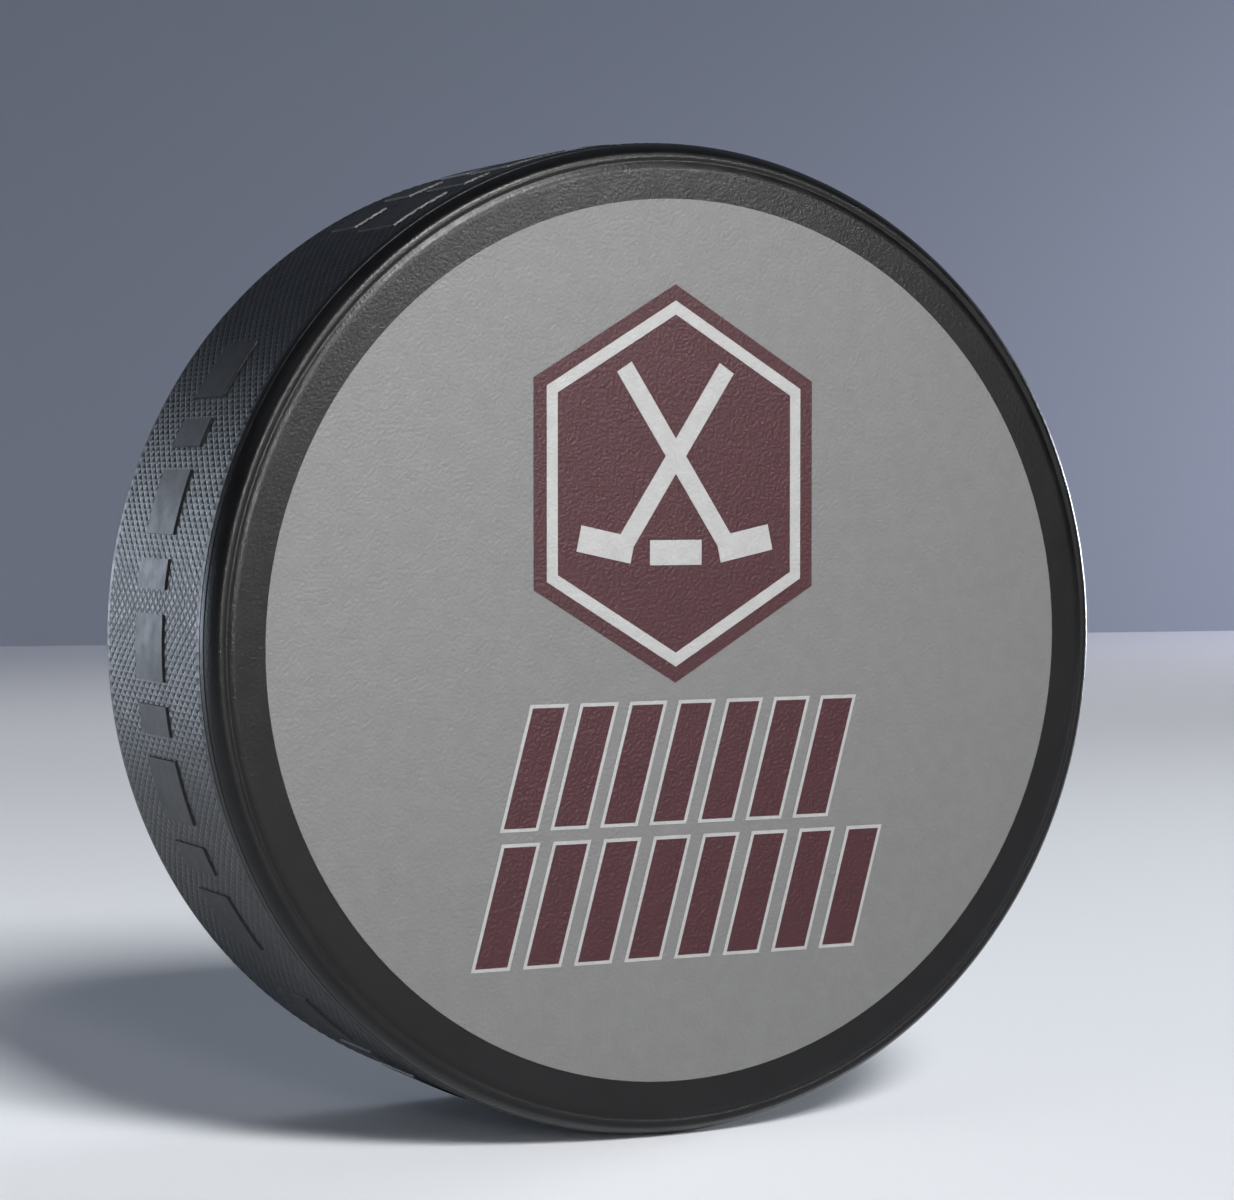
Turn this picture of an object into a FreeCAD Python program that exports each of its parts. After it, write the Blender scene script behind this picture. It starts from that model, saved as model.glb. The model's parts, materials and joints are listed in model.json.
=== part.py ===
"""Ice hockey puck: one rubber moulding standing on its edge, with screen-printed ink films on its front face.

Every body is drawn about the puck's own axis, which lies along Y, with the printed face towards -Y.
Each body is then lifted so that the puck rests on Z = 0. Angles round the edge start at +X and pass
+Z at 90 degrees. Lengths are in millimetres and angles in degrees.
"""
import FreeCAD, Part
import math
import os

import Sketcher

ORIGIN = FreeCAD.Vector(0, 0, 0)
ROUND_Y = FreeCAD.Vector(0, 1, 0)
SHEET_CELLS = {
    # The moulding
    "puck_diameter": 76.2,  # over the raised pads
    "puck_thickness": 25.4,
    "pad_relief": 0.2,  # how far a pad stands above the side
    "side_radius": "=puck_diameter / 2 - pad_relief",
    "root_overlap": 0.6,  # how deep a pad's section reaches into the moulding
    # The rim's section, from the flat face out to the side: a lip, a fine groove with a short wall
    # behind it, a bead and the shoulder. A curve is a radius, a tilt is measured from the face plane.
    "lip_curve": 1.4,
    "lip_tilt": 28.0,
    "groove_curve": 0.25,
    "groove_tilt": 15.0,
    "groove_wall": 0.07,
    "bead_curve": 0.6,
    "bead_tilt": 50.0,
    "shoulder_curve": 3.0,
    "lip_run": "=lip_curve * sin(lip_tilt)",
    "lip_drop": "=lip_curve * (1 - cos(lip_tilt))",
    "groove_run": "=groove_curve * (sin(lip_tilt) + sin(groove_tilt))",
    "groove_drop": "=groove_curve * (cos(groove_tilt) - cos(lip_tilt))",
    "wall_rise": "=groove_wall * tan(groove_tilt)",
    "bead_run": "=bead_curve * (sin(groove_tilt) + sin(bead_tilt))",
    "bead_drop": "=bead_curve * (cos(groove_tilt) - cos(bead_tilt))",
    "shoulder_run": "=shoulder_curve * (1 - sin(bead_tilt))",
    "shoulder_drop": "=shoulder_curve * cos(bead_tilt)",
    "rim_run": "=lip_run + groove_run + groove_wall + bead_run + shoulder_run",
    "rim_drop": "=lip_drop + groove_drop - wall_rise + bead_drop + shoulder_drop",
    "crease_depth": 0.12,
    "crease_offset": 1.33,  # from the face plane
    # Raised pads round the side: offsets are from the front face plane
    "row_near": 9.6,
    "row_far": 16.1,
    "large_near": 4.2,
    "large_far": 11.5,
    "small_near": 14.0,
    "small_far": 19.2,
    "long_pad": 7.52,
    "short_pad": 3.46,
    "pad_pitch": 16.52,
    "foot_gap": 9.0,  # gap between the two lowest pads, which the puck rests on
    "upper_end": 143.4,  # where the long row on each flank ends, short of the top
    "crown_pitch": 15.62,
    "crown_small_pitch": 7.81,
    "crown_small_pad": 4.6,
    # Ink films on the front face
    "film": 0.04,
    "ground_radius": 33.55,
    "badge_width": 23.7,
    "badge_height": 30.2,
    "badge_corner_rise": 7.2,  # from a side corner up or down to the point
    "badge_side": -0.6,
    "badge_middle": 12.0,  # above the puck's axis
    "badge_edge": 1.05,
    "badge_line": 0.9,
    "stick_width": 1.45,
    "stick_length": 16.0,
    "stick_lean": 33.0,
    "stick_rise": 2.1,  # middle of the shafts above the badge's middle
    "blade_length": 4.6,
    "blade_width": 2.0,
    "blade_tilt": 12.0,
    "blade_side": 5.9,
    "blade_drop": 4.55,
    "emblem_puck_length": 4.4,
    "emblem_puck_height": 1.9,
    "emblem_puck_drop": 5.2,
    "stripe_width": 2.6,
    "stripe_height": 8.9,
    "stripe_slant": 2.4,  # sideways run from a stripe's foot to its top
    "stripe_edge": 0.27,
    "upper_pitch": 4.14,
    "upper_count": 7,
    "upper_middle": -9.15,
    "lower_pitch": 4.22,
    "lower_count": 8,
    "lower_middle": -19.45,
}


def make_sheet(doc):
    """The driving dimensions, one aliased cell each."""
    sheet = doc.addObject("Spreadsheet::Sheet", "sizes")
    for row, (alias, value) in enumerate(SHEET_CELLS.items(), start=1):
        sheet.set(f"A{row}", alias)
        sheet.set(f"B{row}", str(value))
        sheet.setAlias(f"B{row}", alias)
    doc.recompute()
    return sheet


def make_body(doc, name):
    """An empty body whose local origin is the middle of the puck."""
    body = doc.addObject("PartDesign::Body", name)
    body.Label = name
    body.AllowCompound = True
    body.setExpression(
        ".Placement.Base.z", "sizes.puck_diameter / 2 * cos(sizes.foot_gap / 2 * 1 deg)"
    )
    return body


def origin_part(body, role):
    """One of the body's own origin planes or axes."""
    return next(part for part in body.Origin.OriginFeatures if part.Role == role)


def add_sketch(body, name, role):
    """A sketch lying on one of the body's origin planes."""
    sketch = body.newObject("Sketcher::SketchObject", name)
    sketch.AttachmentSupport = [(origin_part(body, role), "")]
    sketch.MapMode = "FlatFace"
    return sketch


def place(sketch, x=None, y=None, lift=None, turn=None):
    """Bind a sketch's shift and turn within its plane, and its lift above it."""
    if x:
        sketch.setExpression(".AttachmentOffset.Base.x", x)
    if y:
        sketch.setExpression(".AttachmentOffset.Base.y", y)
    if lift:
        sketch.setExpression(".AttachmentOffset.Base.z", lift)
    if turn:
        sketch.setExpression(".AttachmentOffset.Rotation.Angle", turn)


def value_of(sketch, expression):
    """What an expression on the sheet comes to, as a plain number."""
    value = sketch.evalExpression(expression)
    return float(getattr(value, "Value", value))


def arc_between(start, end, radius):
    """The shorter arc from start to end, and whether it was drawn from end to start.

    A positive radius turns left on the way. Arcs are always drawn anticlockwise.
    """
    chord = end - start
    across = FreeCAD.Vector(-chord.y, chord.x, 0).normalize()
    rise = math.sqrt(radius ** 2 - (chord.Length / 2) ** 2)
    centre = (start + end) / 2 + across * math.copysign(rise, radius)
    backwards = radius < 0
    first, last = (end, start) if backwards else (start, end)
    first_angle = math.atan2(first.y - centre.y, first.x - centre.x)
    last_angle = math.atan2(last.y - centre.y, last.x - centre.x)
    if last_angle < first_angle:
        last_angle += 2 * math.pi
    circle = Part.Circle(centre, FreeCAD.Vector(0, 0, 1), abs(radius))
    return Part.ArcOfCircle(circle, first_angle, last_angle), backwards


def draw_outline(sketch, corners, curves=None):
    """A closed outline. Each corner is a pair of expressions, bound to the sketch.

    curves gives the radius, as an expression, of each side that isn't straight, by the side's number.
    A side that starts with a minus turns right on the way, any other turns left.
    """
    curves = curves or {}
    points = [
        FreeCAD.Vector(value_of(sketch, x), value_of(sketch, y), 0) for x, y in corners
    ]
    lines = []
    for index, point in enumerate(points):
        following = points[(index + 1) % len(points)]
        backwards = False
        if index in curves:
            radius = value_of(sketch, curves[index])
            arc, backwards = arc_between(point, following, radius)
            line = sketch.addGeometry(arc, False)
            number = sketch.addConstraint(Sketcher.Constraint("Radius", line, abs(radius)))
            sketch.setExpression(f"Constraints[{number}]", curves[index].lstrip("-"))
        else:
            line = sketch.addGeometry(Part.LineSegment(point, following), False)
        lines.append((line, 2, 1) if backwards else (line, 1, 2))
    for index, (x, y) in enumerate(corners):
        line, start, end = lines[index]
        next_line, next_start, next_end = lines[(index + 1) % len(lines)]
        sketch.addConstraint(
            Sketcher.Constraint("Coincident", line, end, next_line, next_start)
        )
        for kind, value, text in (
            ("DistanceX", points[index].x, x),
            ("DistanceY", points[index].y, y),
        ):
            number = sketch.addConstraint(Sketcher.Constraint(kind, line, start, value))
            sketch.setExpression(f"Constraints[{number}]", text)


def draw_circle(sketch, radius, x="0", y="0"):
    """A circle whose radius and centre are expressions, bound to the sketch."""
    centre = FreeCAD.Vector(value_of(sketch, x), value_of(sketch, y), 0)
    size = value_of(sketch, radius)
    circle = sketch.addGeometry(
        Part.Circle(centre, FreeCAD.Vector(0, 0, 1), size), False
    )
    for constraint, text in (
        (Sketcher.Constraint("Radius", circle, size), radius),
        (Sketcher.Constraint("DistanceX", circle, 3, centre.x), x),
        (Sketcher.Constraint("DistanceY", circle, 3, centre.y), y),
    ):
        number = sketch.addConstraint(constraint)
        sketch.setExpression(f"Constraints[{number}]", text)


def pad_film(body, sketch, name):
    """One film thickness of ink on a sketch of the front face, growing towards -Y."""
    pad = body.newObject("PartDesign::Pad", name)
    pad.Profile = sketch
    pad.setExpression("Length", "sizes.film")
    body.Tip = pad
    return pad


def face_sketch(body, name, layer, x=None, y=None, turn=None):
    """A sketch on the front face, above the given number of ink films."""
    sketch = add_sketch(body, name, "XZ_Plane")
    lift = f"sizes.puck_thickness / 2 + {layer} * sizes.film"
    place(sketch, x, y, lift, turn)
    return sketch


# ---------------------------------------------------------------- the rubber moulding


def rim_corners(face, inwards):
    """The corners of one rim's section from the flat face outwards: radius, and place along the axis.

    face is the place of the face plane, and inwards is the sign of the way into the puck from there.
    """
    steps = [
        ("sizes.lip_run", "sizes.lip_drop"),
        ("sizes.groove_run", "sizes.groove_drop"),
        ("sizes.groove_wall", "-sizes.wall_rise"),
        ("sizes.bead_run", "sizes.bead_drop"),
        ("sizes.shoulder_run", "sizes.shoulder_drop"),
    ]
    radius = "sizes.side_radius - sizes.rim_run"
    drop = "0"
    corners = [(radius, face)]
    for run, fall in steps:
        radius = f"{radius} + {run}"
        drop = f"{drop} + {fall}"
        corners.append((radius, f"{face} {inwards} ({drop})"))
    return corners


def add_core(body):
    """The plain disc with its rims, turned about the puck's axis."""
    sketch = add_sketch(body, "core_section", "XY_Plane")
    front = rim_corners("-sizes.puck_thickness / 2", "+")
    back = rim_corners("sizes.puck_thickness / 2", "-")
    corners = [("0", front[0][1]), *front, *reversed(back), ("0", back[0][1])]
    curves = {
        1: "sizes.lip_curve",
        2: "-sizes.groove_curve",
        4: "sizes.bead_curve",
        5: "sizes.shoulder_curve",
        7: "sizes.shoulder_curve",
        8: "sizes.bead_curve",
        10: "-sizes.groove_curve",
        11: "sizes.lip_curve",
    }
    draw_outline(sketch, corners, curves)
    core = body.newObject("PartDesign::Revolution", "core")
    core.Profile = sketch
    core.ReferenceAxis = (origin_part(body, "Y_Axis"), [""])
    core.Angle = 360
    body.Tip = core
    body.Document.recompute()


def cut_crease(body, name, side):
    """A hair-line V round one shoulder, the witness line of the mould's joint there."""
    before = body.Shape.Volume
    sketch = add_sketch(body, f"{name}_section", "XY_Plane")
    height = f"{side} * (sizes.puck_thickness / 2 - sizes.crease_offset)"
    rise = "(sizes.rim_drop - sizes.crease_offset)"
    middle = "sizes.side_radius - sizes.shoulder_curve"
    surface = f"({middle} + sqrt(sizes.shoulder_curve ^ 2 - {rise} ^ 2))"
    corners = [
        (f"{surface} - sizes.crease_depth", height),
        (f"{surface} + sizes.crease_depth", f"{height} - sizes.crease_depth"),
        (f"{surface} + sizes.crease_depth", f"{height} + sizes.crease_depth"),
    ]
    draw_outline(sketch, corners)
    groove = body.newObject("PartDesign::Groove", name)
    groove.Profile = sketch
    groove.ReferenceAxis = (origin_part(body, "Y_Axis"), [""])
    groove.Angle = 360
    body.Tip = groove
    body.Document.recompute()
    if body.Shape.Volume >= before:
        raise RuntimeError(f"{name} cuts nothing")


def add_pads(body, name, near, far, width, middle, pitch, count):
    """A run of equal raised pads round the side, from the angle middle downwards in steps of pitch.

    near and far are a pad's offsets from the front face plane, and width is its angle.
    """
    sketch = add_sketch(body, f"{name}_section", "XY_Plane")
    sketch.AttachmentOffset = FreeCAD.Placement(
        ORIGIN, FreeCAD.Rotation(ROUND_Y, -1)
    )
    place(sketch, turn=f"-({middle}) * 1 deg")
    inner = "sizes.puck_diameter / 2 - sizes.root_overlap"
    outer = "sizes.puck_diameter / 2"
    front = f"{near} - sizes.puck_thickness / 2"
    back = f"{far} - sizes.puck_thickness / 2"
    draw_outline(
        sketch, [(inner, front), (outer, front), (outer, back), (inner, back)]
    )
    pad = body.newObject("PartDesign::Revolution", name)
    pad.Profile = sketch
    pad.ReferenceAxis = (origin_part(body, "Y_Axis"), [""])
    pad.Midplane = True
    pad.setExpression("Angle", f"{width} * 1 deg")
    body.Tip = pad
    if count > 1:
        pattern = body.newObject("PartDesign::PolarPattern", f"{name}_run")
        pattern.Originals = [pad]
        pattern.Axis = (origin_part(body, "Y_Axis"), [""])
        pattern.Mode = "Extent"
        pattern.Occurrences = count
        pattern.setExpression("Angle", f"{pitch} * {count - 1} * 1 deg")
        body.Tip = pattern


def add_long_and_short(body, name, near, far, top_edge, pitch, long_count):
    """Long pads with a short one in each gap, starting at the angle top_edge and going down."""
    first = f"({top_edge} - sizes.long_pad / 2)"
    add_pads(body, f"{name}_long", near, far, "sizes.long_pad", first, pitch, long_count)
    between = f"({first} - {pitch} / 2)"
    add_pads(
        body, f"{name}_short", near, far, "sizes.short_pad", between, pitch, long_count - 1
    )


def add_all_pads(body):
    """Five runs of pads, alike on both flanks: one up each flank, one by each side of the foot, two on top."""
    row = ("sizes.row_near", "sizes.row_far")
    pitch = "sizes.pad_pitch"
    flank_run = "(4 * sizes.pad_pitch + sizes.long_pad)"
    foot_run = "(2 * sizes.pad_pitch + sizes.long_pad)"
    flank_end = f"(sizes.upper_end + {flank_run})"
    add_long_and_short(body, "left_flank", *row, flank_end, pitch, 5)
    add_long_and_short(
        body, "right_flank", *row, "(180 - sizes.upper_end)", pitch, 5
    )
    left_foot_end = "(270 - sizes.foot_gap / 2)"
    right_foot_end = f"(270 + sizes.foot_gap / 2 + {foot_run})"
    add_long_and_short(body, "left_foot", *row, left_foot_end, pitch, 3)
    add_long_and_short(body, "right_foot", *row, right_foot_end, pitch, 3)
    crown_end = "(90 + 2 * sizes.crown_pitch + sizes.long_pad / 2)"
    crown = ("sizes.large_near", "sizes.large_far")
    add_long_and_short(body, "crown_large", *crown, crown_end, "sizes.crown_pitch", 5)
    add_pads(
        body,
        "crown_small",
        "sizes.small_near",
        "sizes.small_far",
        "sizes.crown_small_pad",
        "(90 + 4 * sizes.crown_small_pitch)",
        "sizes.crown_small_pitch",
        9,
    )


def make_rubber_body(doc):
    """The whole moulding: disc with its rims, crease lines and raised pads."""
    body = make_body(doc, "rubber_body")
    add_core(body)
    cut_crease(body, "front_crease", "-1")
    cut_crease(body, "back_crease", "1")
    add_all_pads(body)
    return body


# ---------------------------------------------------------------- the ink films


def make_ground_ink(doc):
    """The round grey ground under all other printing."""
    body = make_body(doc, "ground_ink")
    sketch = face_sketch(body, "ground_outline", 0)
    draw_circle(sketch, "sizes.ground_radius")
    pad_film(body, sketch, "ground_film")
    return body


def badge_corners(inset):
    """The badge's outline: an upright hexagon with its points up and down, moved in by inset."""
    half_width = f"(sizes.badge_width / 2 - {inset})"
    slope = "sqrt(1 + (sizes.badge_corner_rise / (sizes.badge_width / 2)) ^ 2)"
    tip = f"(sizes.badge_height / 2 - {inset} * {slope})"
    corner = f"({tip} - sizes.badge_corner_rise / (sizes.badge_width / 2) * {half_width})"
    return [
        ("0", tip),
        (half_width, corner),
        (half_width, f"-{corner}"),
        ("0", f"-{tip}"),
        (f"-{half_width}", f"-{corner}"),
        (f"-{half_width}", corner),
    ]


def make_badge_ink(doc):
    """The maroon badge."""
    body = make_body(doc, "badge_ink")
    sketch = face_sketch(
        body, "badge_outline", 1, "sizes.badge_side", "sizes.badge_middle"
    )
    draw_outline(sketch, badge_corners("0"))
    pad_film(body, sketch, "badge_film")
    return body


def make_badge_line_ink(doc):
    """The white line that follows the badge's edge."""
    body = make_body(doc, "badge_line_ink")
    sketch = face_sketch(
        body, "line_outline", 2, "sizes.badge_side", "sizes.badge_middle"
    )
    draw_outline(sketch, badge_corners("sizes.badge_edge"))
    draw_outline(sketch, badge_corners("(sizes.badge_edge + sizes.badge_line)"))
    pad_film(body, sketch, "line_film")
    return body


def add_bar(body, name, width, height, x, y, turn):
    """A straight bar of the emblem: a rectangle about the point x, y, turned by turn degrees."""
    sketch = face_sketch(body, f"{name}_outline", 2, x, y, f"{turn} * 1 deg")
    half_width = f"{width} / 2"
    half_height = f"{height} / 2"
    draw_outline(
        sketch,
        [
            (f"-{half_width}", f"-{half_height}"),
            (half_width, f"-{half_height}"),
            (half_width, half_height),
            (f"-{half_width}", half_height),
        ],
    )
    return pad_film(body, sketch, name)


def make_emblem_ink(doc):
    """Two crossed sticks above a small puck, in white on the badge."""
    body = make_body(doc, "emblem_ink")
    side = "sizes.badge_side"
    middle = "sizes.badge_middle"
    for name, hand in (("left", "-1"), ("right", "1")):
        add_bar(
            body,
            f"{name}_shaft",
            "sizes.stick_width",
            "sizes.stick_length",
            side,
            f"{middle} + sizes.stick_rise",
            f"{hand} * sizes.stick_lean",
        )
        add_bar(
            body,
            f"{name}_blade",
            "sizes.blade_length",
            "sizes.blade_width",
            f"{side} + {hand} * sizes.blade_side",
            f"{middle} - sizes.blade_drop",
            f"{hand} * sizes.blade_tilt",
        )
    add_bar(
        body,
        "small_puck",
        "sizes.emblem_puck_length",
        "sizes.emblem_puck_height",
        side,
        f"{middle} - sizes.emblem_puck_drop",
        "0",
    )
    return body


def make_stripes(doc, name, layer, row, edge):
    """A row of leaning stripes, each moved out by edge all round."""
    body = make_body(doc, name)
    count = int(value_of(body, f"sizes.{row}_count"))
    pitch = f"sizes.{row}_pitch"
    first = f"-{pitch} * {count - 1} / 2"
    sketch = face_sketch(body, f"{name}_outline", layer, first, f"sizes.{row}_middle")
    half_height = f"(sizes.stripe_height / 2 + {edge})"
    lean = "(sizes.stripe_slant / sizes.stripe_height)"
    half_width = f"(sizes.stripe_width / 2 + {edge} * sqrt(1 + {lean} ^ 2))"
    run = f"({lean} * {half_height})"
    draw_outline(
        sketch,
        [
            (f"-{half_width} - {run}", f"-{half_height}"),
            (f"{half_width} - {run}", f"-{half_height}"),
            (f"{half_width} + {run}", half_height),
            (f"-{half_width} + {run}", half_height),
        ],
    )
    pad = pad_film(body, sketch, f"{name}_film")
    pattern = body.newObject("PartDesign::LinearPattern", f"{name}_row")
    pattern.Originals = [pad]
    pattern.Direction = (origin_part(body, "X_Axis"), [""])
    pattern.Mode = "Extent"
    pattern.Occurrences = count
    pattern.setExpression("Length", f"{pitch} * {count - 1}")
    body.Tip = pattern
    return body


def make_all(doc):
    """Every sub-part, in the order in which the puck is made."""
    make_sheet(doc)
    bodies = [
        make_rubber_body(doc),
        make_ground_ink(doc),
        make_badge_ink(doc),
        make_badge_line_ink(doc),
        make_emblem_ink(doc),
    ]
    for row in ("upper", "lower"):
        bodies.append(
            make_stripes(doc, f"{row}_stripes_outline_ink", 1, row, "sizes.stripe_edge")
        )
        bodies.append(make_stripes(doc, f"{row}_stripes_ink", 2, row, "0"))
    doc.recompute()
    return bodies


def check(doc, bodies):
    """Stop before anything is written if any object failed or any sub-part isn't sound."""
    for item in doc.Objects:
        if "Invalid" in item.State or "Error" in item.State:
            raise RuntimeError(f"{item.Name} failed: {item.State}")
    for body in bodies:
        if body.Shape.isNull() or not body.Shape.isValid() or not body.Shape.Solids:
            raise RuntimeError(f"{body.Label} has no sound shape")


def export(bodies):
    """One STEP file for each sub-part, named after it."""
    os.makedirs("parts", exist_ok=True)
    for body in bodies:
        body.Shape.exportStep(f"parts/{body.Label}.step")
        box = body.Shape.BoundBox
        print(
            f"{body.Label}: {len(body.Shape.Solids)} solids, {body.Shape.Volume:.1f} mm3, "
            f"X {box.XMin:.2f} {box.XMax:.2f}, Y {box.YMin:.2f} {box.YMax:.2f}, "
            f"Z {box.ZMin:.2f} {box.ZMax:.2f}"
        )


document = FreeCAD.newDocument("puck")
sub_parts = make_all(document)
check(document, sub_parts)
export(sub_parts)
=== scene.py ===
"""The look of an ice hockey puck on its edge: rubber moulding, ink films and a plain studio.

Shape sizes below are in millimetres and angles round the edge are in degrees, from +X past +Z,
as in the CAD model. An offset is a distance behind the front face plane. Meshes are written in
metres, and the studio's places and sizes are in metres too.
"""
import json
import math

import bmesh
import bpy
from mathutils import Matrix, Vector


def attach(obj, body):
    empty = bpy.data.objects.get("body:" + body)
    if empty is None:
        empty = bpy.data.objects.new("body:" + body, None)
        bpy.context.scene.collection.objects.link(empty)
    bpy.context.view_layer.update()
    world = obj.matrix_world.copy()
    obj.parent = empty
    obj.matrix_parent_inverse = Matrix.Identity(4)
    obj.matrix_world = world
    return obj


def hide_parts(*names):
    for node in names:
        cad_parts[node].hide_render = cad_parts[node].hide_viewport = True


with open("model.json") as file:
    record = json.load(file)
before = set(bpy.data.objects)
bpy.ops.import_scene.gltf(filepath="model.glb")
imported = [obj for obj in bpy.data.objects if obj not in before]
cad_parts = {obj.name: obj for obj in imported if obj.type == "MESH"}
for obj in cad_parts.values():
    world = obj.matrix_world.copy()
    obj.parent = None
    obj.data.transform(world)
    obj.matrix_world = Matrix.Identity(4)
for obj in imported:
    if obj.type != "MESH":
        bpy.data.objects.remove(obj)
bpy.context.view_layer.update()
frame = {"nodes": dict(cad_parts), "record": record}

MM = 0.001
BACK_FACE_MIDDLE = frame["record"]["mounts"][0]["pos_m"]
AXIS_HEIGHT = BACK_FACE_MIDDLE[2] / MM
THICKNESS = 2 * BACK_FACE_MIDDLE[1] / MM
PUCK_RADIUS = 38.1  # over the raised pads

# The rim's section, from the flat face out to the side: a curve is a radius, a tilt is in degrees
# from the face plane
SIDE_RADIUS = 37.9
LIP_CURVE = 1.4
LIP_TILT = 28.0
GROOVE_CURVE = 0.25
GROOVE_TILT = 15.0
GROOVE_WALL = 0.07
BEAD_CURVE = 0.60
BEAD_TILT = 50.0
SHOULDER_CURVE = 3.0
CREASE_OFFSET = 1.33
CREASE_REACH = 0.07
CREASE_DEPTH = 0.10
CREASE_CLEARANCE = 1.3 * CREASE_REACH  # the section's other points stay this far from it
CURVE_STEP = 0.06
MIN_CURVE_STEPS = 4

# The knurling: crossed grooves leave rows of small pyramids
CELLS_ROUND = 256
HALF_CELLS = 2 * CELLS_ROUND
ROW_COUNT = 34
ROW_STEP = 0.62
KNURL_START = (THICKNESS - (ROW_COUNT + 1) * ROW_STEP) / 2
VALLEY_RADIUS = SIDE_RADIUS
TIP_RADIUS = 37.955
TIP_SHARE = 0.40  # how much of a cell its blunt tip takes up

# Raised pads: runs of long and short ones, as in the CAD model. A width, a pitch or the gap at the
# foot is an angle, and a band is the offsets between which a pad lies
LONG_PAD = 7.52
SHORT_PAD = 3.46
SMALL_PAD = 4.6
PAD_PITCH = 16.52
CROWN_PITCH = 15.62
SIDE_COUNT = 5
FOOT_COUNT = 3
CROWN_COUNT = 5
SMALL_COUNT = 9
FOOT_GAP = 9.0
UPPER_END = 143.4
ROW_BAND = (9.6, 16.1)
LARGE_BAND = (4.2, 11.5)
SMALL_BAND = (14.0, 19.2)
PAD_ROOT_RADIUS = 37.5
PAD_DRAFT = 0.5  # run of a pad's front and back walls for each unit of their height
PAD_CHAMFER = 0.03
PAD_STEP = 1.4  # degrees from one point of a pad's outline to the next
MIN_PAD_STEPS = 2

# The moulding's material slots
FACE_SLOT = 0
KNURL_SLOT = 1
PAD_SLOT = 2
PAD_WALL_LEAN = 0.5  # a pad's face is a front or back wall if its normal has more than this along Y
SMOOTH_ANGLE = 14.0  # an edge that turns by more than this is shaded sharp


# ---------------------------------------------------------------- mesh helpers


def point(radius, angle, offset):
    """A point in metres from its radius, its angle round the puck and its offset from the front."""
    turn = math.radians(angle)
    return (
        radius * math.cos(turn) * MM,
        (offset - THICKNESS / 2) * MM,
        (AXIS_HEIGHT + radius * math.sin(turn)) * MM,
    )


def make_object(name, points, faces, materials):
    """A mesh object in the scene, from its points and faces."""
    mesh = bpy.data.meshes.new(name)
    mesh.from_pydata(points, [], faces)
    mesh.validate()
    for material in materials:
        mesh.materials.append(material)
    piece = bpy.data.objects.new(name, mesh)
    bpy.context.scene.collection.objects.link(piece)
    return piece


class Shell:
    """Points and faces of one closed surface, gathered piece by piece."""

    def __init__(self):
        self.points = []
        self.faces = []

    def add(self, place):
        """Keep a point and return its number."""
        self.points.append(place)
        return len(self.points) - 1

    def ring(self, radius, offset, phase):
        """A ring of points, one for each cell round the puck, shifted by phase half-cells."""
        step = 360 / HALF_CELLS
        return [
            self.add(point(radius, (2 * k + phase) * step, offset))
            for k in range(CELLS_ROUND)
        ]

    def band(self, first, second):
        """Quads between two rings."""
        for k in range(len(first)):
            n = (k + 1) % len(first)
            self.faces.append((first[k], first[n], second[n], second[k]))


# ---------------------------------------------------------------- the rubber moulding


def walk_arc(section, curve, first_tilt, last_tilt):
    """Go on from a section's last point along an arc, and add its points."""
    radius, offset = section[-1]
    length = curve * math.radians(abs(last_tilt - first_tilt))
    count = max(MIN_CURVE_STEPS, round(length / CURVE_STEP))
    side = 1 if last_tilt > first_tilt else -1
    begin = math.radians(first_tilt)
    for k in range(1, count + 1):
        tilt = begin + math.radians(last_tilt - first_tilt) * k / count
        section.append(
            (
                radius + side * curve * (math.sin(tilt) - math.sin(begin)),
                offset + side * curve * (math.cos(begin) - math.cos(tilt)),
            )
        )


def rim_section():
    """Radius and offset along the rim: lip, groove, bead, shoulder with its crease, and margin."""
    section = [(0.0, 0.0)]
    walk_arc(section, LIP_CURVE, 0, LIP_TILT)
    walk_arc(section, GROOVE_CURVE, LIP_TILT, -GROOVE_TILT)
    radius, offset = section[-1]
    rise = GROOVE_WALL * math.tan(math.radians(GROOVE_TILT))
    section.append((radius + GROOVE_WALL, offset - rise))
    walk_arc(section, BEAD_CURVE, -GROOVE_TILT, BEAD_TILT)
    walk_arc(section, SHOULDER_CURVE, BEAD_TILT, 90)
    shift = SIDE_RADIUS - section[-1][0]
    section = [(radius + shift, offset) for radius, offset in section]
    before = [p for p in section if p[1] < CREASE_OFFSET - CREASE_CLEARANCE]
    after = [p for p in section if CREASE_OFFSET + CREASE_CLEARANCE < p[1] < KNURL_START]
    middle = (before[-1][0] + after[0][0]) / 2
    slope = (after[0][0] - before[-1][0]) / (after[0][1] - before[-1][1])
    crease = [
        (middle + slope * place - depth, CREASE_OFFSET + place)
        for place, depth in ((-CREASE_REACH, 0), (0, CREASE_DEPTH), (CREASE_REACH, 0))
    ]
    return before + crease + after + [(VALLEY_RADIUS, KNURL_START)]


def add_end(shell, phase, flip):
    """One flat face and its rim; flip puts it at the back. Returns the ring beside the knurling."""

    def offset_of(depth):
        return THICKNESS - depth if flip else depth

    section = rim_section()
    rings = [shell.ring(radius, offset_of(depth), phase) for radius, depth in section]
    shell.faces.append(tuple(rings[0]))
    for first, second in zip(rings, rings[1:]):
        shell.band(first, second)
    return rings[-1]


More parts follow.
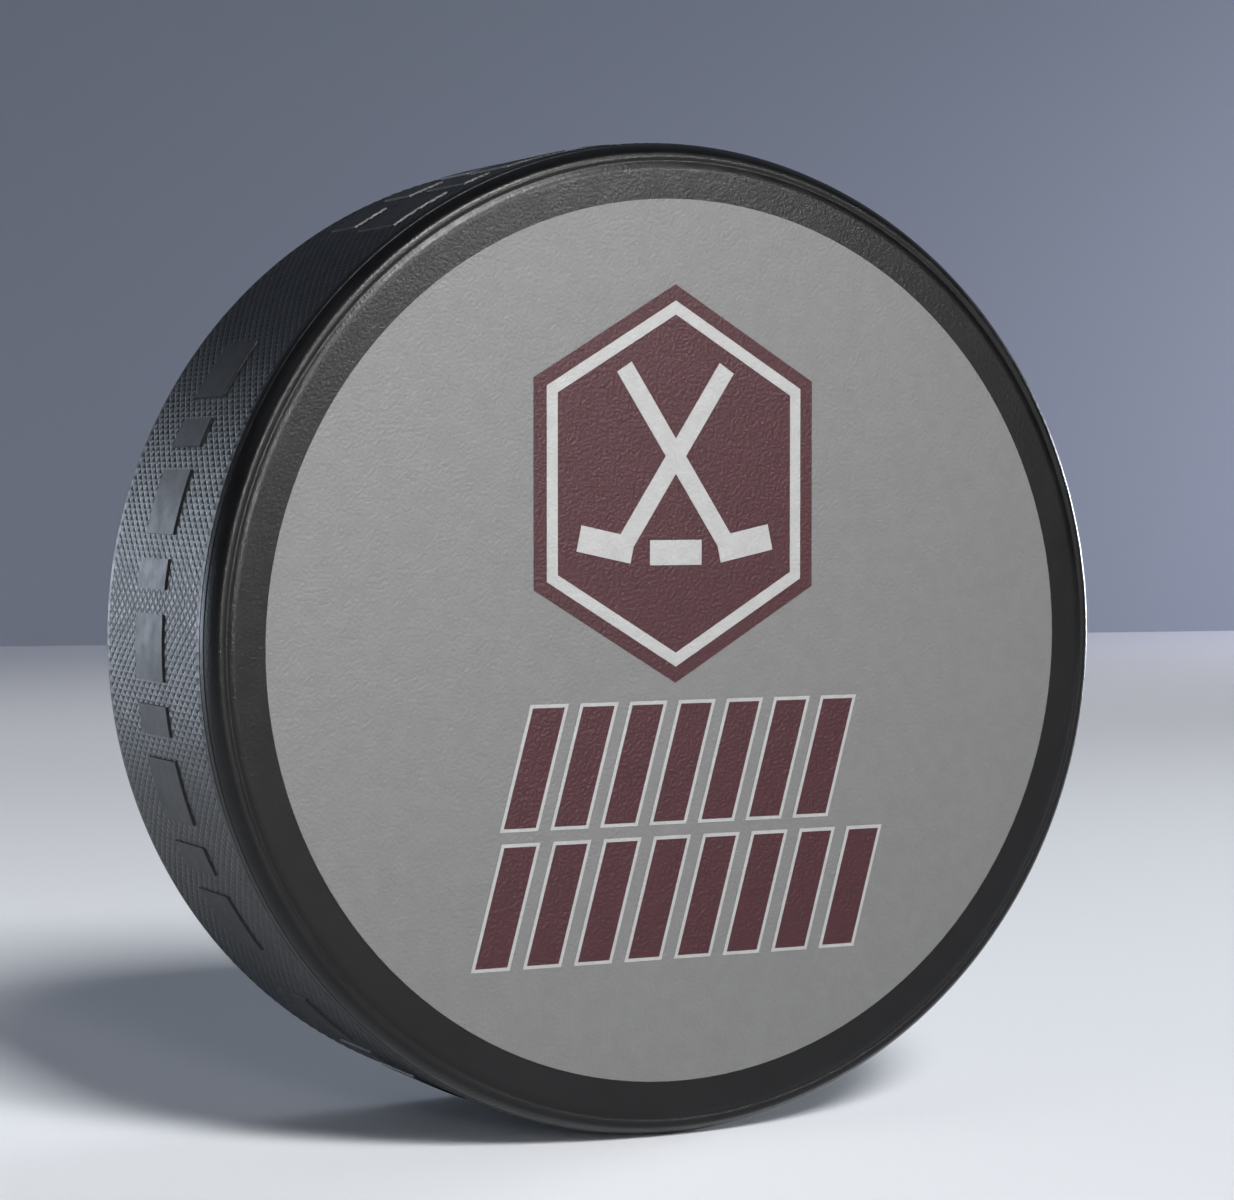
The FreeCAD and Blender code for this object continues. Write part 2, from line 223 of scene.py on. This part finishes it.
def add_knurling(shell, front_ring, back_ring):
    """Blunt pyramids on a lattice of crossed grooves, between the two smooth margins."""
    step = 360 / HALF_CELLS
    # Points at the bottom of the grooves, by half-cell round the puck and by row
    valley = {}
    for k in range(CELLS_ROUND):
        valley[2 * k, -1] = front_ring[k]
        valley[2 * k + 1, ROW_COUNT] = back_ring[k]
    for row in range(ROW_COUNT):
        offset = KNURL_START + (row + 1) * ROW_STEP
        for column in range((row + 1) % 2, HALF_CELLS, 2):
            valley[column, row] = shell.add(point(VALLEY_RADIUS, column * step, offset))

    def corner(column, row):
        return valley[column % HALF_CELLS, row]

    for row in range(ROW_COUNT):
        offset = KNURL_START + (row + 1) * ROW_STEP
        for column in range(row % 2, HALF_CELLS, 2):
            sides = [(1, 0), (0, 1), (-1, 0), (0, -1)]
            base = [corner(column + x, row + y) for x, y in sides]
            tip = [
                shell.add(
                    point(
                        TIP_RADIUS,
                        (column + TIP_SHARE * x) * step,
                        offset + TIP_SHARE * y * ROW_STEP,
                    )
                )
                for x, y in sides
            ]
            for k in range(4):
                n = (k + 1) % 4
                shell.faces.append((base[k], base[n], tip[n], tip[k]))
            shell.faces.append(tuple(tip))
    for column in range(0, HALF_CELLS, 2):
        shell.faces.append(
            (corner(column, -1), corner(column + 2, -1), corner(column + 1, 0))
        )
    for column in range(1, HALF_CELLS, 2):
        shell.faces.append(
            (
                corner(column, ROW_COUNT),
                corner(column + 2, ROW_COUNT),
                corner(column + 1, ROW_COUNT - 1),
            )
        )


def pad_runs():
    """Each pad as its lowest angle, its width and its band of offsets."""
    pads = []

    def long_and_short(top, pitch, count, band):
        """Long pads downwards from an angle, with a short one in each gap."""
        for k in range(count):
            pads.append((top - LONG_PAD - k * pitch, LONG_PAD, band))
        for k in range(count - 1):
            middle = top - LONG_PAD / 2 - pitch / 2 - k * pitch
            pads.append((middle - SHORT_PAD / 2, SHORT_PAD, band))

    left_side = UPPER_END + (SIDE_COUNT - 1) * PAD_PITCH + LONG_PAD
    long_and_short(left_side, PAD_PITCH, SIDE_COUNT, ROW_BAND)
    long_and_short(180 - UPPER_END, PAD_PITCH, SIDE_COUNT, ROW_BAND)
    long_and_short(270 - FOOT_GAP / 2, PAD_PITCH, FOOT_COUNT, ROW_BAND)
    right_foot = 270 + FOOT_GAP / 2 + (FOOT_COUNT - 1) * PAD_PITCH + LONG_PAD
    long_and_short(right_foot, PAD_PITCH, FOOT_COUNT, ROW_BAND)
    crown = 90 + CROWN_COUNT // 2 * CROWN_PITCH + LONG_PAD / 2
    long_and_short(crown, CROWN_PITCH, CROWN_COUNT, LARGE_BAND)
    for k in range(SMALL_COUNT):
        middle = 90 + (SMALL_COUNT // 2 - k) * CROWN_PITCH / 2
        pads.append((middle - SMALL_PAD / 2, SMALL_PAD, SMALL_BAND))
    return pads


def add_pad(shell, start, width, band):
    """One raised pad that follows the side: upright ends, and leaning walls with a broken edge."""
    near, far = band
    shoulder = PUCK_RADIUS - PAD_CHAMFER
    levels = [
        (PAD_ROOT_RADIUS, PAD_DRAFT * (PAD_ROOT_RADIUS - SIDE_RADIUS)),
        (shoulder, PAD_DRAFT * (shoulder - SIDE_RADIUS)),
        (PUCK_RADIUS, PAD_DRAFT * (shoulder - SIDE_RADIUS) + PAD_CHAMFER),
    ]
    count = max(MIN_PAD_STEPS, round(width / PAD_STEP))
    angles = [start + width * k / count for k in range(count + 1)]
    outlines = []
    for radius, inset in levels:
        outline = [shell.add(point(radius, angle, near + inset)) for angle in angles]
        outline += [
            shell.add(point(radius, angle, far - inset)) for angle in reversed(angles)
        ]
        outlines.append(outline)
    for lower, upper in zip(outlines, outlines[1:]):
        shell.band(lower, upper)
    for outline in (outlines[0], outlines[-1]):
        for k in range(count):
            shell.faces.append(
                (outline[k], outline[k + 1], outline[-k - 2], outline[-k - 1])
            )


def turn_outwards(piece):
    """Make every face's normal point out of the solid."""
    work = bmesh.new()
    work.from_mesh(piece.data)
    bmesh.ops.recalc_face_normals(work, faces=work.faces)
    work.to_mesh(piece.data)
    work.free()


def make_moulding(materials):
    """The whole rubber moulding as one closed mesh; materials go by the slots above."""
    shell = Shell()
    front = add_end(shell, 0, False)
    back = add_end(shell, 1, True)
    end_faces = len(shell.faces)
    add_knurling(shell, front, back)
    body = make_object("rubber_moulding", shell.points, shell.faces, materials)
    for face in body.data.polygons[end_faces:]:
        face.material_index = KNURL_SLOT
    turn_outwards(body)
    pad_shell = Shell()
    for start, width, band in pad_runs():
        add_pad(pad_shell, start, width, band)
    pads = make_object("pads", pad_shell.points, pad_shell.faces, materials)
    turn_outwards(pads)
    for face in pads.data.polygons:
        is_wall = abs(face.normal.y) > PAD_WALL_LEAN
        face.material_index = FACE_SLOT if is_wall else PAD_SLOT
    join = body.modifiers.new("pads", "BOOLEAN")
    join.operation = "UNION"
    join.solver = "MANIFOLD"
    join.object = pads
    view = bpy.context.evaluated_depsgraph_get()
    joined = bpy.data.meshes.new_from_object(body.evaluated_get(view))
    body.modifiers.clear()
    body.data = joined
    bpy.data.objects.remove(pads)
    for face in body.data.polygons:
        face.use_smooth = True
    body.data.set_sharp_from_angle(angle=math.radians(SMOOTH_ANGLE))
    return body


# ---------------------------------------------------------------- materials


# A grain is a bump: waves per metre, detail, height in metres, strength
FACE_GRAIN = (4300, 1.0, 0.00004, 0.52)
INK_GRAIN = (3600, 2.0, 0.000078, 1.0)
SIDE_GRAIN = (3800, 2.0, 0.00004, 0.35)

# Roughness drifts between two values
FACE_ROUGHNESS = (0.31, 0.37)
KNURL_ROUGHNESS = (0.40, 0.47)
PAD_ROUGHNESS = (0.48, 0.56)
INK_ROUGHNESS = (0.40, 0.48)
PAPER_ROUGHNESS = 0.7

# Colours drift between a dark and a light tone
RUBBER_TONES = ((0.0020, 0.0020, 0.0022), (0.0032, 0.0032, 0.0035))
INK_TONES = {
    "grey_ink": ((0.120, 0.120, 0.120), (0.129, 0.129, 0.129)),
    "maroon_ink": ((0.032, 0.005, 0.008), (0.037, 0.006, 0.010)),
    "white_ink": ((0.27, 0.27, 0.27), (0.30, 0.30, 0.30)),
}

# How many waves per metre those drifts have
RUBBER_TONE_SCALE = 260
RUBBER_ROUGHNESS_SCALE = 700
INK_TONE_SCALE = 900
INK_ROUGHNESS_SCALE = 1200

RUBBER_SPECULAR = 0.28
INK_SPECULAR = 0.35

# The part of the noise's range that a drift is stretched over
NOISE_LOW = 0.35
NOISE_HIGH = 0.65


def new_material(name):
    """A material, its node tree and its Principled shader."""
    material = bpy.data.materials.new(name)
    material.use_nodes = True
    tree = material.node_tree
    shader = next(n for n in tree.nodes if n.type == "BSDF_PRINCIPLED")
    return material, tree, shader


def noise_node(tree, place, scale, detail, roughness=0.5):
    """Noise over the object's own place in metres; scale is in waves per metre."""
    node = tree.nodes.new("ShaderNodeTexNoise")
    node.inputs["Scale"].default_value = scale
    node.inputs["Detail"].default_value = detail
    node.inputs["Roughness"].default_value = roughness
    tree.links.new(place.outputs["Object"], node.inputs["Vector"])
    return node


def add_grain(tree, shader, place, grain):
    """Put a grain on the shader's normal."""
    scale, detail, height, strength = grain
    bump = tree.nodes.new("ShaderNodeBump")
    bump.inputs["Distance"].default_value = height
    bump.inputs["Strength"].default_value = strength
    waves = noise_node(tree, place, scale, detail)
    tree.links.new(waves.outputs["Fac"], bump.inputs["Height"])
    tree.links.new(bump.outputs["Normal"], shader.inputs["Normal"])


def vary_colour(tree, shader, place, tones, scale):
    """Base colour that drifts between a dark and a light tone."""
    dark, light = tones
    ramp = tree.nodes.new("ShaderNodeValToRGB")
    ramp.color_ramp.elements[0].position = NOISE_LOW
    ramp.color_ramp.elements[1].position = NOISE_HIGH
    ramp.color_ramp.elements[0].color = (*dark, 1)
    ramp.color_ramp.elements[1].color = (*light, 1)
    patches = noise_node(tree, place, scale, detail=4.0, roughness=0.6)
    tree.links.new(patches.outputs["Fac"], ramp.inputs["Fac"])
    tree.links.new(ramp.outputs["Color"], shader.inputs["Base Color"])


def vary_roughness(tree, shader, place, limits, scale):
    """Roughness that drifts between two values."""
    low, high = limits
    span = tree.nodes.new("ShaderNodeMapRange")
    span.inputs["From Min"].default_value = NOISE_LOW
    span.inputs["From Max"].default_value = NOISE_HIGH
    span.inputs["To Min"].default_value = low
    span.inputs["To Max"].default_value = high
    patches = noise_node(tree, place, scale, detail=3.0)
    tree.links.new(patches.outputs["Fac"], span.inputs["Value"])
    tree.links.new(span.outputs["Result"], shader.inputs["Roughness"])


def make_rubber(name, grain, roughness):
    """Black vulcanised rubber."""
    material, tree, shader = new_material(name)
    place = tree.nodes.new("ShaderNodeTexCoord")
    vary_colour(tree, shader, place, RUBBER_TONES, RUBBER_TONE_SCALE)
    vary_roughness(tree, shader, place, roughness, RUBBER_ROUGHNESS_SCALE)
    shader.inputs["Specular IOR Level"].default_value = RUBBER_SPECULAR
    add_grain(tree, shader, place, grain)
    return material


def make_ink(name, tones):
    """Matt screen ink with the rubber's grain showing in it."""
    material, tree, shader = new_material(name)
    place = tree.nodes.new("ShaderNodeTexCoord")
    vary_colour(tree, shader, place, tones, INK_TONE_SCALE)
    vary_roughness(tree, shader, place, INK_ROUGHNESS, INK_ROUGHNESS_SCALE)
    shader.inputs["Specular IOR Level"].default_value = INK_SPECULAR
    add_grain(tree, shader, place, INK_GRAIN)
    return material


# ---------------------------------------------------------------- the studio


# The papers' fades, which are painted shade: axis, where the fade begins and ends, and the lit and
# shaded colours there
FLOOR_PAINTED_SHADE = ("Y", 0.36, 0.76, (0.80, 0.82, 0.86), (0.375, 0.40, 0.465))
WALL_PAINTED_SHADE = ("Z", -0.04, 0.34, (0.122, 0.140, 0.184), (0.068, 0.084, 0.118))

WALL_MIDDLE = (0.351, 0.710)
WALL_TURN = math.radians(-11.2)
STAGE_REACH = 4.0

PUCK_MIDDLE = (0, 0, 0.038)
AIR_COLOUR = (0.50, 0.68, 1.0, 1)
AIR_STRENGTH = 0.012

CAMERA_PLACE = (-0.11318, -0.23118, 0.04992)
CAMERA_AIM = (0.44172, 0.89645, -0.03558)
LENS = 94.45
SENSOR_WIDTH = 36.0
NEAR_CLIP = 0.01
FAR_CLIP = 20.0


def make_plane(name, corners, material):
    """A flat stage sheet through four corners."""
    sheet = make_object(name, corners, [(0, 1, 2, 3)], [material])


def make_paper_with_painted_shade(name, axis, begin, end, lit_colour, shaded_colour):
    """Matt paper with painted shade: its colour fades from a lit to a darker shaded one between two
    places along an axis.
    """
    material, tree, shader = new_material(name)
    place = tree.nodes.new("ShaderNodeTexCoord")
    split = tree.nodes.new("ShaderNodeSeparateXYZ")
    span = tree.nodes.new("ShaderNodeMapRange")
    span.interpolation_type = "SMOOTHSTEP"
    span.inputs["From Min"].default_value = begin
    span.inputs["From Max"].default_value = end
    ramp = tree.nodes.new("ShaderNodeValToRGB")
    # The first colour is the lit tone; the second is the darker painted shade.
    ramp.color_ramp.elements[0].color = (*lit_colour, 1)
    ramp.color_ramp.elements[1].color = (*shaded_colour, 1)
    tree.links.new(place.outputs["Object"], split.inputs["Vector"])
    tree.links.new(split.outputs[axis], span.inputs["Value"])
    tree.links.new(span.outputs["Result"], ramp.inputs["Fac"])
    tree.links.new(ramp.outputs["Color"], shader.inputs["Base Color"])
    shader.inputs["Roughness"].default_value = PAPER_ROUGHNESS
    return material


def area_light(name, place, target, size, power, colour, height=None, spread=None):
    """A soft light aimed at target: watts, degrees of spread, square unless height is given."""
    lamp = bpy.data.lights.new(name, "AREA")
    lamp.size = size
    lamp.energy = power
    lamp.color = colour
    if height:
        lamp.shape = "RECTANGLE"
        lamp.size_y = height
    if spread:
        lamp.spread = math.radians(spread)
    holder = bpy.data.objects.new(name, lamp)
    bpy.context.scene.collection.objects.link(holder)
    holder.location = place
    aim = Vector(target) - Vector(place)
    holder.rotation_euler = aim.to_track_quat("-Z", "Y").to_euler()


def make_stage():
    """Pale floor with painted shade that darkens it towards the wall, and a blue-grey wall with
    painted shade that darkens it upwards.
    """
    # Both papers darken by painted shade: the floor towards the wall, the wall upwards.
    floor = make_paper_with_painted_shade("floor_paper_with_painted_shade", *FLOOR_PAINTED_SHADE)
    wall = make_paper_with_painted_shade("backdrop_paper_with_painted_shade", *WALL_PAINTED_SHADE)
    left, right = (
        (
            WALL_MIDDLE[0] + side * STAGE_REACH * math.cos(WALL_TURN),
            WALL_MIDDLE[1] + side * STAGE_REACH * math.sin(WALL_TURN),
        )
        for side in (-1, 1)
    )
    front_left = (-STAGE_REACH, -STAGE_REACH, 0)
    front_right = (STAGE_REACH, -STAGE_REACH, 0)
    make_plane("floor", [front_left, front_right, (*right, 0), (*left, 0)], floor)
    make_plane(
        "backdrop",
        [(*left, 0), (*right, 0), (*right, STAGE_REACH), (*left, STAGE_REACH)],
        wall,
    )


def make_front_lights():
    """A strong softbox above the camera, and two weak narrow beams at the puck's upper left."""
    area_light("key", (0.08, -1.392, 1.193), PUCK_MIDDLE, 0.48, 40.2, (1.0, 0.995, 0.985))
    area_light(
        "fill", (0.31, -0.75, 0.27), (-0.036, 0, 0.080), 0.14, 0.0245, (1.0, 0.99, 0.97),
        spread=13,
    )
    area_light(
        "front_fill", (-0.095, -0.678, 0.184), (-0.038, 0, 0.085), 0.12, 0.027, (1.0, 0.99, 0.98),
        spread=14,
    )


def make_side_lights():
    """Lights that the rims and the knurled side mirror, and one that washes the wall."""
    area_light("left_top", (-0.60, -0.10, 0.66), PUCK_MIDDLE, 0.42, 0.24, (0.90, 0.95, 1.0))
    area_light(
        "left_back", (-0.55, 0.47, 0.040), PUCK_MIDDLE, 0.70, 0.26, (0.74, 0.85, 1.0),
        height=0.072, spread=66,
    )
    area_light(
        "left_edge", (-0.254, 0.666, 0.086), PUCK_MIDDLE, 0.22, 0.040, (0.78, 0.87, 1.0),
        height=0.17, spread=30,
    )
    area_light(
        "right_back", (0.85, 0.27, 0.075), PUCK_MIDDLE, 0.22, 0.47, (0.84, 0.91, 1.0),
        spread=36,
    )
    area_light(
        "wall_wash", (1.05, 0.30, 0.22), (0.70, 0.62, 0.08), 0.26, 1.4, (0.92, 0.90, 1.0),
        spread=70,
    )


def make_air():
    """Faint bluish light from all round."""
    world = bpy.data.worlds.new("studio_air")
    world.use_nodes = True
    air = world.node_tree.nodes["Background"]
    air.inputs["Color"].default_value = AIR_COLOUR
    air.inputs["Strength"].default_value = AIR_STRENGTH
    bpy.context.scene.world = world


def make_camera():
    """The camera of the reference view: a long lens low in front, a little to the left."""
    lens = bpy.data.cameras.new("camera")
    lens.lens = LENS
    lens.sensor_width = SENSOR_WIDTH
    lens.clip_start = NEAR_CLIP
    lens.clip_end = FAR_CLIP
    camera = bpy.data.objects.new("camera", lens)
    bpy.context.scene.collection.objects.link(camera)
    camera.location = CAMERA_PLACE
    camera.rotation_euler = Vector(CAMERA_AIM).to_track_quat("-Z", "Y").to_euler()
    bpy.context.scene.camera = camera


# ---------------------------------------------------------------- putting it together


def ink_the_films():
    """Give each CAD film of ink its own look."""
    inks = {name: make_ink(name, tones) for name, tones in INK_TONES.items()}
    for part in frame["record"]["subparts"]:
        if part["material_slot"] in inks:
            materials = frame["nodes"][part["node"]].data.materials
            materials.clear()
            materials.append(inks[part["material_slot"]])


def main():
    """The moulding in place of its CAD node, the inked films, the studio and the camera."""
    face_rubber = make_rubber("face_rubber", FACE_GRAIN, FACE_ROUGHNESS)
    knurled_rubber = make_rubber("knurled_rubber", SIDE_GRAIN, KNURL_ROUGHNESS)
    pad_rubber = make_rubber("pad_rubber", SIDE_GRAIN, PAD_ROUGHNESS)
    moulding = make_moulding([face_rubber, knurled_rubber, pad_rubber])
    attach(moulding, "root")
    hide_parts("rubber_body")
    ink_the_films()
    make_stage()
    make_front_lights()
    make_side_lights()
    make_air()
    make_camera()
    bpy.context.scene.view_settings.view_transform = "Standard"


main()
